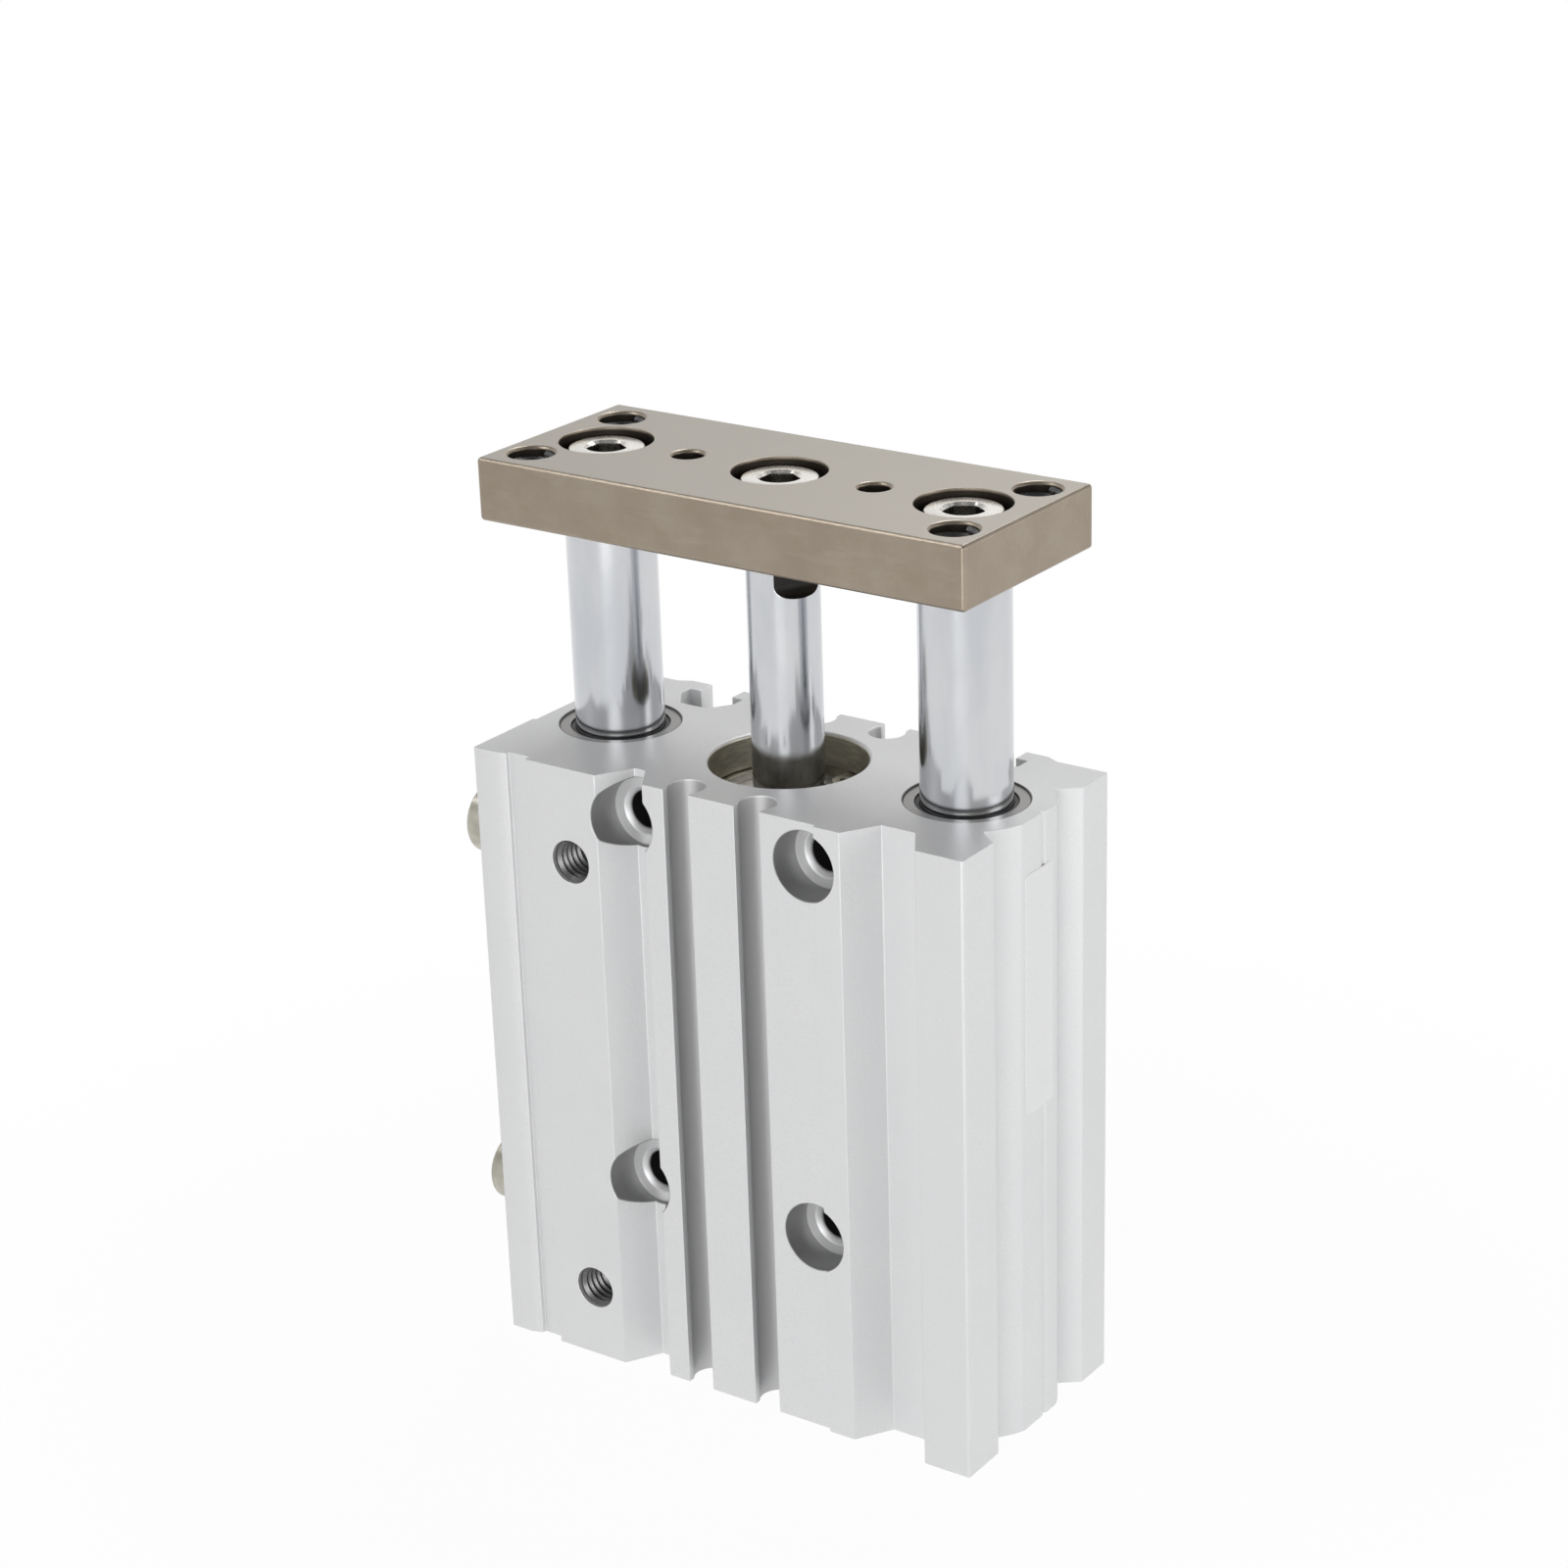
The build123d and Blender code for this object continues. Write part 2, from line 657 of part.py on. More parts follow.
def socket_screw(place):
    """Build a low-headed socket screw that sits in the plate and reaches down into a rod."""
    with BuildSketch(Plane.XY.offset(bolt_seat_z)) as head:
        with Locations(place):
            Circle(bolt_head_radius)
    extrude(head.sketch, amount=bolt_head_height)
    with BuildSketch(Plane.XY.offset(bolt_tip_z)) as shank:
        with Locations(place):
            Circle(thread_radius - running_clearance)
    extrude(shank.sketch, amount=bolt_seat_z - bolt_tip_z)
    with BuildSketch(Plane.XY.offset(bolt_seat_z + bolt_head_height)) as socket:
        with Locations(place):
            RegularPolygon(bolt_hex / 2, 6, major_radius=False)
    extrude(socket.sketch, amount=-bolt_hex_depth, mode=Mode.SUBTRACT)


with BuildPart() as guide_rod_bolts:
    socket_screw(bolt_places[0])
    socket_screw(bolt_places[2])

with BuildPart() as piston_rod_bolt:
    socket_screw(bolt_places[1])

# Piston rod: tapped and flatted under the plate, turned down through the piston and caulked below it
wrench_reach = thread_radius + wrench_wall
wrench_corner = (wrench_reach + wrench_corner_radius, -wrench_length - wrench_corner_radius)
wrench_facing = Vector(1, 0, 0).rotate(Axis.Z, wrench_angle)
wrench_side = Vector(0, -1, 0).rotate(Axis.Z, wrench_angle)
with BuildPart() as piston_rod:
    with BuildSketch(Plane.XY.offset(front_bumper_z)):
        Circle(rod_radius)
    extrude(amount=plate_z - front_bumper_z)
    with BuildSketch(Plane.XY.offset(piston_head_z)):
        Circle(spigot_radius)
    extrude(amount=front_bumper_z - piston_head_z)
    with BuildSketch(Plane.XY.offset(piston_head_z)):
        Circle(caulk_radius)
    extrude(amount=caulk_depth)
    with BuildSketch(Plane.XY.offset(plate_z)):
        Circle(thread_radius)
    extrude(amount=bolt_floor_z - plate_z, mode=Mode.SUBTRACT)
    # Two flats, milled across the rod by a cutter with rounded corners
    with BuildSketch(Plane(origin=(0, 0, plate_z), x_dir=wrench_facing, z_dir=wrench_side)):
        with BuildLine():
            Polyline((wrench_corner[0] + past, wrench_corner[1]), wrench_corner)
            RadiusArc(wrench_corner, (wrench_reach, -wrench_length), wrench_corner_radius)
            Polyline(
                (wrench_reach, -wrench_length),
                (wrench_reach, past),
                (wrench_corner[0] + past, past),
                (wrench_corner[0] + past, wrench_corner[1]),
            )
        make_face()
        mirror(about=Plane.YZ)
    extrude(amount=rod_radius + past, both=True, mode=Mode.SUBTRACT)

# Piston in two halves that hold the magnet between them
piston_radius = bore_radius - piston_clearance
piston_hole_radius = spigot_radius + seat_clearance
with BuildPart() as piston_head_side:
    tube(piston_radius, piston_hole_radius, piston_head_z, magnet_z)
    with BuildSketch(Plane.XY.offset(piston_head_z)):
        Circle(caulk_radius + seat_clearance)
    extrude(amount=caulk_depth, mode=Mode.SUBTRACT)

with BuildPart() as magnet_ring:
    tube(piston_radius - magnet_inset, piston_hole_radius, magnet_z, piston_rod_side_z)

piston_groove_radius = piston_radius - piston_seal_depth
piston_seal_z = piston_rod_side_z + (piston_rod_length - piston_seal_width) / 2
with BuildPart() as piston_rod_side:
    tube(piston_radius, piston_hole_radius, piston_rod_side_z, front_bumper_z)
    tube(
        piston_radius + past,
        piston_groove_radius,
        piston_seal_z,
        piston_seal_z + piston_seal_width + gasket_slack,
        Mode.SUBTRACT,
    )

with BuildPart() as piston_seal:
    tube(
        bore_radius - running_clearance,
        piston_groove_radius + seat_clearance,
        piston_seal_z,
        piston_seal_z + piston_seal_width,
    )

# Bumpers: urethane rings on both faces of the piston
with BuildPart() as front_bumper:
    tube(bumper_radius, rod_radius + seat_clearance, front_bumper_z, front_bumper_z + bumper_thickness)

with BuildPart() as rear_bumper:
    tube(bumper_radius, caulk_radius + seat_clearance, rear_bumper_z, piston_head_z)

# Write each piece to its own file, named as the piece is
pieces = {
    "cylinder_body": cylinder_body,
    "channel_plug": channel_plug,
    "rod_collar": rod_collar,
    "rod_seal": rod_seal,
    "collar_gasket": collar_gasket,
    "collar_retaining_ring": collar_retaining_ring,
    "head_cover": head_cover,
    "head_gasket": head_gasket,
    "head_retaining_ring": head_retaining_ring,
    "port_plugs": port_plugs,
    "plug_gaskets": plug_gaskets,
    "end_plate": end_plate,
    "guide_rod_bolts": guide_rod_bolts,
    "piston_rod_bolt": piston_rod_bolt,
    "piston_rod": piston_rod,
    "piston_head_side": piston_head_side,
    "magnet_ring": magnet_ring,
    "piston_rod_side": piston_rod_side,
    "piston_seal": piston_seal,
    "front_bumper": front_bumper,
    "rear_bumper": rear_bumper,
    **guide_pieces,
}
os.makedirs("parts", exist_ok=True)
for name, piece in pieces.items():
    piece.part.label = name
    export_step(piece.part, f"parts/{name}.step")
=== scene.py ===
from math import cos, degrees, pi, radians

import bmesh
import bpy
from mathutils import Matrix, Vector


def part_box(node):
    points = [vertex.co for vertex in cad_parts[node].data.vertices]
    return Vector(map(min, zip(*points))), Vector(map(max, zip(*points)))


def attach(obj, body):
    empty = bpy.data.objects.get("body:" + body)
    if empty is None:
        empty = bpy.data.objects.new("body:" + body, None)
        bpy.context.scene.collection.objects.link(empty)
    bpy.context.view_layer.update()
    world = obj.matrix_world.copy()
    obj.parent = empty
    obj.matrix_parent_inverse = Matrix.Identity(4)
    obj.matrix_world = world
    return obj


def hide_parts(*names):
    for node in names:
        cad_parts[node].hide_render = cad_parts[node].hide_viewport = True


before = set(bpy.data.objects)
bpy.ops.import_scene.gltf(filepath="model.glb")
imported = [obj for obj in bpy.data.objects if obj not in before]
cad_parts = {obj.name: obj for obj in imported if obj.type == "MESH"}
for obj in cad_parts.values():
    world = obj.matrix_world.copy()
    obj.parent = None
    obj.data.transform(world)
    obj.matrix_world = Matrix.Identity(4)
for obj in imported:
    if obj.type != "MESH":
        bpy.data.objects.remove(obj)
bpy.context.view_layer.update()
mm = 0.001

# Extruded body. One length of aluminium extrusion, sawn and milled flat at both ends, then drilled and
# counterbored, and clear anodised with a fine etched grain. The bore was honed and hard anodised to a dark
# olive brown, which shows in the recess round the piston rod.


class Shade:
    """A value in a material. Arithmetic on it adds Math nodes, and node() adds any other kind.

    output() is another output of the node that the value comes from.
    """

    def __init__(self, tree, socket=None):
        self.tree = tree
        self.socket = socket

    def node(self, kind, settings=None, inputs=None, output=0):
        made = self.tree.nodes.new(kind)
        for name, value in (settings or {}).items():
            setattr(made, name, value)
        for name, value in (inputs or {}).items():
            if isinstance(value, Shade):
                self.tree.links.new(value.socket, made.inputs[name])
            else:
                made.inputs[name].default_value = value
        return Shade(self.tree, made.outputs[output])

    def output(self, name):
        return Shade(self.tree, self.socket.node.outputs[name])

    def __add__(self, other):
        return self.node("ShaderNodeMath", {"operation": "ADD"}, {0: self, 1: other})

    def __radd__(self, other):
        return self.node("ShaderNodeMath", {"operation": "ADD"}, {0: other, 1: self})

    def __sub__(self, other):
        return self.node("ShaderNodeMath", {"operation": "SUBTRACT"}, {0: self, 1: other})

    def __rsub__(self, other):
        return self.node("ShaderNodeMath", {"operation": "SUBTRACT"}, {0: other, 1: self})

    def __mul__(self, other):
        return self.node("ShaderNodeMath", {"operation": "MULTIPLY"}, {0: self, 1: other})

    def __rmul__(self, other):
        return self.node("ShaderNodeMath", {"operation": "MULTIPLY"}, {0: other, 1: self})

    def __truediv__(self, other):
        return self.node("ShaderNodeMath", {"operation": "DIVIDE"}, {0: self, 1: other})

    def __pow__(self, other):
        return self.node("ShaderNodeMath", {"operation": "POWER"}, {0: self, 1: other})

    def __abs__(self):
        return self.node("ShaderNodeMath", {"operation": "ABSOLUTE"}, {0: self})


def begin(name):
    """Start a material and return it with its shader and the place on the surface, in metres."""
    material = bpy.data.materials.new(name)
    material.use_nodes = True
    tree = material.node_tree
    shader = tree.nodes["Principled BSDF"]
    place = Shade(tree).node("ShaderNodeTexCoord", output=3)
    return material, shader, place


def feed(shader, socket, value):
    """Link a value that changes over the surface to one of the shader's sockets."""
    value.tree.links.new(value.socket, shader.inputs[socket])


def grain(place, size, stretch=(1, 1, 1), detail=2.0):
    """Noise between 0 and 1 whose specks are about size metres across, drawn out along some axes."""
    scale = [1 / (size * times) for times in stretch]
    drawn = place.node("ShaderNodeMapping", inputs={"Vector": place, "Scale": scale})
    look = {"Vector": drawn, "Scale": 1.0, "Detail": detail, "Roughness": 0.55}
    return drawn.node("ShaderNodeTexNoise", inputs=look)


def blend(factor, low, high):
    """Mix two colours by a factor. Either may be a plain colour or a link."""
    low, high = ((*colour, 1) if isinstance(colour, tuple) else colour for colour in (low, high))
    return factor.node("ShaderNodeMix", {"data_type": "RGBA"}, {0: factor, 6: low, 7: high}, output=2)


def ease(value, low, high):
    """Rise smoothly from 0 to 1 as the value goes from low to high, or fall if low is the larger."""
    if low > high:
        return 1.0 - ease(value, high, low)
    ends = {0: value, 1: low, 2: high, 3: 0.0, 4: 1.0}
    return value.node("ShaderNodeMapRange", {"interpolation_type": "SMOOTHSTEP"}, ends)


def split(place):
    """The three coordinates of a place as separate values."""
    parts = place.node("ShaderNodeSeparateXYZ", inputs={0: place})
    return [parts.output(axis) for axis in "XYZ"]


def reach(across, along):
    """The distance that two offsets at right angles make."""
    return (across * across + along * along) ** 0.5


def from_pair(across, rise, levels):
    """The distance to the nearer one of two holes, from the offset across them and the height."""
    half = (levels[1] - levels[0]) / 2
    return reach(across, abs(rise - sum(levels) / 2) - half)


def relief(shader, height, depth):
    """Raise the surface by a value between 0 and 1, times a depth in metres."""
    bump = height.node("ShaderNodeBump", inputs={"Strength": 1.0, "Distance": depth, "Height": height})
    feed(shader, "Normal", bump)


def dress(piece, material):
    """Give a piece one material over all its faces."""
    piece.data.materials.clear()
    piece.data.materials.append(material)


def soften(piece, width):
    """Join a CAD piece's loose triangles and round its sharp edges a little, as deburring does."""
    weld = piece.modifiers.new("join", "WELD")
    weld.merge_threshold = 0.002 * mm
    flat = piece.modifiers.new("flat", "DECIMATE")
    flat.decimate_type = "DISSOLVE"
    flat.angle_limit = radians(0.3)
    edge = piece.modifiers.new("edge", "BEVEL")
    edge.width = width
    edge.segments = 2
    edge.limit_method = "ANGLE"
    edge.angle_limit = radians(28)
    edge.use_clamp_overlap = False
    edge.miter_outer = "MITER_ARC"
    normals = piece.modifiers.new("normals", "WEIGHTED_NORMAL")
    normals.weight = 80


def finish_nodes(names, material, width):
    """Round the edges of pieces that come from the solids and give them a material."""
    for name in names:
        soften(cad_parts[name], width)
        dress(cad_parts[name], material)


body_low, body_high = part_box("cylinder_body")
rod_low, rod_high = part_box("guide_rod_right")
guide_x = (rod_low.x + rod_high.x) / 2
bush_low, bush_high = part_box("front_bush_right")
bush_radius = (bush_high.x - bush_low.x) / 2
tapped_radius = 2.5 * mm
port_x = -19.1 * mm
port_levels = (8.8 * mm, 62 * mm)
mount_x = 12 * mm
mount_levels = (24 * mm, 68 * mm)
drilling_radius = 2.15 * mm
counterbore_radius = 4 * mm
counterbore_floor = -10.5 * mm
slot_x = 4.65 * mm
slot_radius = 2.1 * mm
ring_groove_radius = 9.35 * mm

anodised, shader, place = begin("anodised_extrusion")
x, y, z = split(place)
from_bore = reach(x, y)
from_guide = reach(abs(x) - guide_x, y)
from_mount = from_pair(abs(x) - mount_x, z, mount_levels)
from_port = from_pair(x - port_x, z, port_levels)
speck = grain(place, 0.14 * mm)
cloud = grain(place, 9 * mm)
die_line = grain(place, 0.35 * mm, stretch=(1, 1, 160))
turned_line = grain(place, 0.12 * mm, stretch=(30, 1, 30))
below_top = ease(z, body_high.z - 0.05 * mm, body_high.z - 0.35 * mm)
inside_bore = ease(from_bore, ring_groove_radius + 0.15 * mm, ring_groove_radius) * below_top
# Painted shade: a near-black ring on the top face round each bush, for the shade in the gap beside the bush.
gap_shade_ring = ease(from_guide, bush_radius + 0.24 * mm, bush_radius + 0.1 * mm)
gap_shade_ring = gap_shade_ring * ease(z, body_high.z - 0.5 * mm, body_high.z - 0.05 * mm)
# Painted shade: the mount drillings below the counterbore floor are coloured nearly black.
drilling_shade = ease(from_mount, drilling_radius + 0.55 * mm, drilling_radius + 0.15 * mm)
drilling_shade = drilling_shade * ease(y, counterbore_floor + 0.3 * mm, counterbore_floor + 0.8 * mm)
# Painted shade: the counterbore walls are coloured a darker grey, with the real turning rings showing in it.
from_wall = abs(from_mount - counterbore_radius)
counterbore_wall_shade = ease(from_wall, 0.15 * mm, 0.05 * mm)
counterbore_wall_shade = counterbore_wall_shade * ease(y, body_low.y + 0.1 * mm, body_low.y + 0.3 * mm)
counterbore_wall_shade = counterbore_wall_shade * ease(y, counterbore_floor + 0.1 * mm, counterbore_floor - 0.1 * mm)
# Painted shade: the tapped air ports are coloured dark inside.
port_shade = ease(from_port, tapped_radius + 0.12 * mm, tapped_radius + 0.04 * mm)
port_shade = port_shade * ease(y, body_low.y + 0.4 * mm, body_low.y + 0.7 * mm)
sawn = ease(z, body_high.z - 0.03 * mm, body_high.z - 0.01 * mm)
# Painted shade: the round slots along the body are coloured darker inside, where little light reaches.
slot_shade = ease(abs(abs(x) - slot_x), slot_radius + 0.25 * mm, slot_radius + 0.05 * mm)
slot_shade = slot_shade * ease(abs(y), body_high.y - 0.6 * mm, body_high.y - 1.6 * mm)
slot_shade = slot_shade * ease(from_bore, ring_groove_radius + 0.25 * mm, ring_groove_radius + 0.65 * mm)
slot_shade = slot_shade * below_top
silver = blend(ease(speck, 0.3, 0.7), (0.72, 0.725, 0.73), (0.78, 0.782, 0.785))
silver = blend(ease(cloud, 0.35, 0.7) * 0.3, silver, (0.72, 0.725, 0.735))
silver = blend(ease(die_line, 0.55, 0.8) * 0.15, silver, (0.68, 0.685, 0.69))
silver = blend(slot_shade * 0.6, silver, (0.42, 0.42, 0.425))
honing = grain(place, 0.4 * mm, stretch=(4, 4, 1), detail=3.0)
honed = blend(ease(honing, 0.35, 0.7), (0.36, 0.34, 0.27), (0.50, 0.47, 0.38))
colour = blend(inside_bore, silver, honed)
colour = blend(gap_shade_ring * 0.85, colour, (0.03, 0.03, 0.03))
colour = blend(counterbore_wall_shade * (0.75 + 0.25 * turned_line), colour, (0.3, 0.3, 0.3))
colour = blend(drilling_shade, colour, (0.035, 0.034, 0.033))
feed(shader, "Base Color", blend(port_shade * 0.8, colour, (0.12, 0.12, 0.12)))
feed(shader, "Roughness", 0.42 + 0.08 * speck + 0.05 * cloud - 0.12 * inside_bore - 0.03 * sawn)
relief(shader, 0.7 * speck + 0.3 * die_line, 0.008 * mm)
shader.inputs["Metallic"].default_value = 0.6
finish_nodes(["cylinder_body"], anodised, 0.09 * mm)

# Guide rods. Two bars of bearing steel, hard chromed and ground, each held under the plate by one screw. The
# chrome is bluish and nearly a mirror, with faint handling marks and the fine rings that grinding leaves.

chrome, shader, place = begin("ground_hard_chrome")
smear = grain(place, 5 * mm, stretch=(1, 1, 3), detail=3.0)
ring = grain(place, 0.12 * mm, stretch=(40, 40, 1))
feed(shader, "Base Color", blend(ease(smear, 0.3, 0.75), (0.55, 0.565, 0.595), (0.63, 0.64, 0.655)))
feed(shader, "Roughness", 0.09 + 0.1 * smear + 0.05 * ring)
relief(shader, ring, 0.0012 * mm)
shader.inputs["Metallic"].default_value = 1.0
finish_nodes(["guide_rod_left", "guide_rod_right"], chrome, 0.06 * mm)

# Piston rod. The same chromed and ground steel, 8 mm thick, with two wrench flats milled through the chrome
# right under the plate. The flats are coloured nearly black.

plate_low, plate_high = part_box("end_plate")
rod_radius = 4 * mm
flat_corner = 1.5 * mm
flat_length = 4.6 * mm
milled_chrome, shader, place = begin("chrome_with_milled_flats")
x, y, z = split(place)
smear = grain(place, 5 * mm, stretch=(1, 1, 3), detail=3.0)
ring = grain(place, 0.12 * mm, stretch=(40, 40, 1))
corner_drop = z - (plate_low.z - flat_length)
on_flat = ease(reach(x, y), rod_radius - 0.005 * mm, rod_radius - 0.02 * mm)
on_flat = on_flat * ease(corner_drop, -1.6 * flat_corner, -1.1 * flat_corner)
shine = blend(ease(smear, 0.3, 0.75), (0.55, 0.565, 0.595), (0.63, 0.64, 0.655))
feed(shader, "Base Color", blend(on_flat, shine, (0.045, 0.042, 0.04)))
feed(shader, "Roughness", 0.09 + 0.1 * smear + 0.05 * ring + 0.26 * on_flat)
relief(shader, ring, 0.0012 * mm)
shader.inputs["Metallic"].default_value = 1.0
finish_nodes(["piston_rod"], milled_chrome, 0.05 * mm)

# End plate. A milled steel block with dull nickel plating, warm grey with faint brown clouds. The milling
# left fine lines along its length, and its broken edges catch the light.

corner_x = 27 * mm
corner_y = 8 * mm
locating_x = 12 * mm
locating_radius = 1.7 * mm
screw_bore_radius = 5.2 * mm
nickel, shader, place = begin("dull_nickel_plate")
x, y, z = split(place)
speck = grain(place, 0.16 * mm)
milling = grain(place, 0.1 * mm, stretch=(60, 1, 12))
cloud = grain(place, 5 * mm, detail=3.0)
tarnish = grain(place, 1.3 * mm, detail=3.0)
from_corner = reach(abs(x) - corner_x, abs(y) - corner_y)
# Painted shade: the corner holes, the locating holes and the screw bores are coloured nearly black below the
# top.
hole_shade = ease(from_corner, tapped_radius + 0.12 * mm, tapped_radius + 0.04 * mm)
from_locating = reach(abs(x) - locating_x, y)
hole_shade = hole_shade + ease(from_locating, locating_radius + 0.15 * mm, locating_radius + 0.05 * mm)
for side in (abs(x) - guide_x, x):
    hole_shade = hole_shade + ease(reach(side, y), screw_bore_radius + 0.15 * mm, screw_bore_radius + 0.02 * mm)
hole_shade = hole_shade * ease(z, plate_high.z - 0.15 * mm, plate_high.z - 0.4 * mm)
warm = blend(ease(cloud, 0.3, 0.75), (0.33, 0.275, 0.215), (0.38, 0.325, 0.26))
warm = blend(ease(tarnish, 0.5, 0.8) * 0.35, warm, (0.36, 0.27, 0.20))
warm = blend(ease(speck, 0.35, 0.7) * 0.4, warm, (0.30, 0.26, 0.21))
warm = blend(ease(milling, 0.5, 0.75) * 0.25, warm, (0.45, 0.40, 0.33))
# Painted light: the top face of the plate is coloured lighter than its sides.
painted_top_light = ease(z, plate_high.z - 0.06 * mm, plate_high.z - 0.02 * mm)
warm = blend(painted_top_light * 0.7, warm, (0.50, 0.475, 0.43))
feed(shader, "Base Color", blend(hole_shade, warm, (0.05, 0.042, 0.035)))
feed(shader, "Roughness", 0.32 + 0.1 * speck + 0.08 * cloud + 0.1 * hole_shade)
relief(shader, 0.6 * milling + 0.4 * speck, 0.008 * mm)
shader.inputs["Metallic"].default_value = 1.0
finish_nodes(["end_plate"], nickel, 0.11 * mm)

# Plate screws. Three low-headed M5 socket screws of bright nickel-plated steel, sunk in the plate and turned
# into the rods. Each head has a knurled side, a chamfered rim and a 4 mm hexagon with a countersunk mouth.

screw_low, screw_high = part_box("piston_rod_bolt")
head_height = 3.75 * mm
head_radius = 4.25 * mm
knurl_inset = 0.45 * mm
knurl_end = 0.35 * mm
knurl_groove = 0.975
rim_profile = ((0.35 * mm, 0), (0.15 * mm, 0.08 * mm), (0.02 * mm, 0.3 * mm))
seat_chamfer = 0.1 * mm
hexagon_width = 4.0 * mm
hexagon_depth = 2.1 * mm
floor_inset = 0.3 * mm
floor_round = 0.1 * mm
drill_cone = 0.8 * mm
drill_tip = 0.25 * mm
countersink_radius = 2.45 * mm
countersink_depth = 0.3 * mm
shank_radius = 2.45 * mm
point_chamfer = 0.5 * mm
ring_sides = 72
screw_nickel, shader, place = begin("bright_nickel_screw")
speck = grain(place, 0.2 * mm)
cloud = grain(place, 2 * mm)
x, y, z = split(place)
from_middle = reach(x, y)
from_side = reach(abs(x) - guide_x, y)
from_axis = x.node("ShaderNodeMath", {"operation": "MINIMUM"}, {0: from_middle, 1: from_side})
# Painted shade: the hexagon socket of each screw is coloured nearly black.
socket_shade = ease(from_axis, countersink_radius + 0.05 * mm, countersink_radius - 0.1 * mm)
socket_shade = socket_shade * ease(z, screw_high.z - 0.25 * mm, screw_high.z - 0.5 * mm)
# Painted shade: the knurled side of each head, down in the counterbore gap, is coloured nearly black.
knurl_gap_shade = ease(from_axis, head_radius - 0.25 * mm, head_radius - 0.15 * mm)
knurl_gap_shade = knurl_gap_shade * ease(z, screw_high.z - 0.3 * mm, screw_high.z - 0.5 * mm)
bright = blend(ease(cloud, 0.3, 0.7), (0.84, 0.81, 0.76), (0.92, 0.89, 0.84))
feed(shader, "Base Color", blend(socket_shade * 0.8 + knurl_gap_shade * 0.9, bright, (0.07, 0.06, 0.05)))
feed(shader, "Roughness", 0.22 + 0.12 * speck)
relief(shader, speck, 0.003 * mm)
shader.inputs["Metallic"].default_value = 1.0


def ring_of(mesh, radius, height):
    """Add a ring of vertices about the Z axis and return it."""
    made = bmesh.ops.create_circle(mesh, segments=ring_sides, radius=radius)["verts"]
    bmesh.ops.translate(mesh, verts=made, vec=(0, 0, height))
    return made


def hexagon_of(mesh, across_flats, height):
    """Add a ring of vertices that lie on a hexagon and return it."""
    made = ring_of(mesh, across_flats / 2, height)
    for vertex in made:
        turn = (Vector((1, 0)).angle_signed(vertex.co.xy) + pi / 6) % (pi / 3) - pi / 6
        vertex.co.xy = vertex.co.xy / cos(turn)
    return made


def join_rings(mesh, rings):
    """Bridge each ring to the next one and close the first and the last."""
    for upper, lower in zip(rings, rings[1:]):
        pair = [edge for edge in mesh.edges if all(v in upper for v in edge.verts)]
        pair += [edge for edge in mesh.edges if all(v in lower for v in edge.verts)]
        bmesh.ops.bridge_loops(mesh, edges=pair)
    bmesh.ops.contextual_create(mesh, geom=list(rings[0]))
    bmesh.ops.contextual_create(mesh, geom=list(rings[-1]))


def finish_piece(mesh, name, material, riding):
    """Turn a bmesh into a piece with outward faces, smooth between its sharp edges."""
    sharp_angle = 30
    bmesh.ops.recalc_face_normals(mesh, faces=mesh.faces)
    for face in mesh.faces:
        face.smooth = True
    for edge in mesh.edges:
        if len(edge.link_faces) == 2 and degrees(edge.calc_face_angle(0)) > sharp_angle:
            edge.smooth = False
    data = bpy.data.meshes.new(name)
    mesh.to_mesh(data)
    mesh.free()
    piece = bpy.data.objects.new(name, data)
    bpy.context.scene.collection.objects.link(piece)
    dress(piece, material)
    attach(piece, riding)
    return piece


def socket_screw(mesh, at_x):
    """Add one socket screw to a mesh, with its head up."""
    top = screw_high.z
    seat = top - head_height
    before = set(mesh.verts)
    knurled = ring_of(mesh, head_radius, top - knurl_inset)
    lower_knurl = ring_of(mesh, head_radius, seat + knurl_end)
    for number, (upper, lower) in enumerate(zip(knurled, lower_knurl)):
        if number % 2:
            upper.co.xy *= knurl_groove
            lower.co.xy *= knurl_groove
    rings = [
        ring_of(mesh, drill_tip, top - hexagon_depth - drill_cone),
        hexagon_of(mesh, hexagon_width - floor_inset, top - hexagon_depth - floor_round),
        hexagon_of(mesh, hexagon_width, top - hexagon_depth),
        hexagon_of(mesh, hexagon_width, top - countersink_depth),
        ring_of(mesh, countersink_radius, top),
        *(ring_of(mesh, head_radius - inset, top - drop) for inset, drop in rim_profile),
        knurled,
        lower_knurl,
        ring_of(mesh, head_radius - seat_chamfer, seat),
        ring_of(mesh, shank_radius, seat),
        ring_of(mesh, shank_radius, screw_low.z + point_chamfer),
        ring_of(mesh, shank_radius - point_chamfer, screw_low.z),
    ]
    join_rings(mesh, rings)
    made = [vertex for vertex in mesh.verts if vertex not in before]
    bmesh.ops.translate(mesh, verts=made, vec=(at_x, 0, 0))


mesh = bmesh.new()
socket_screw(mesh, -guide_x)
socket_screw(mesh, guide_x)
guide_screws = finish_piece(mesh, "guide_rod_screws", screw_nickel, "carriage")
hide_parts("guide_rod_bolts")
mesh = bmesh.new()
socket_screw(mesh, 0)
rod_screw = finish_piece(mesh, "piston_rod_screw", screw_nickel, "carriage")
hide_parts("piston_rod_bolt")

# Cut threads. M5 x 0.8 threads in the air ports, the plate's corner holes, the back and the head end. Each is
# the ridge that a tap leaves standing on the drilled wall, coloured dark as painted shade inside the hole.

shade_dark_thread, shader, place = begin("shade_dark_cut_thread")
speck = grain(place, 0.1 * mm)
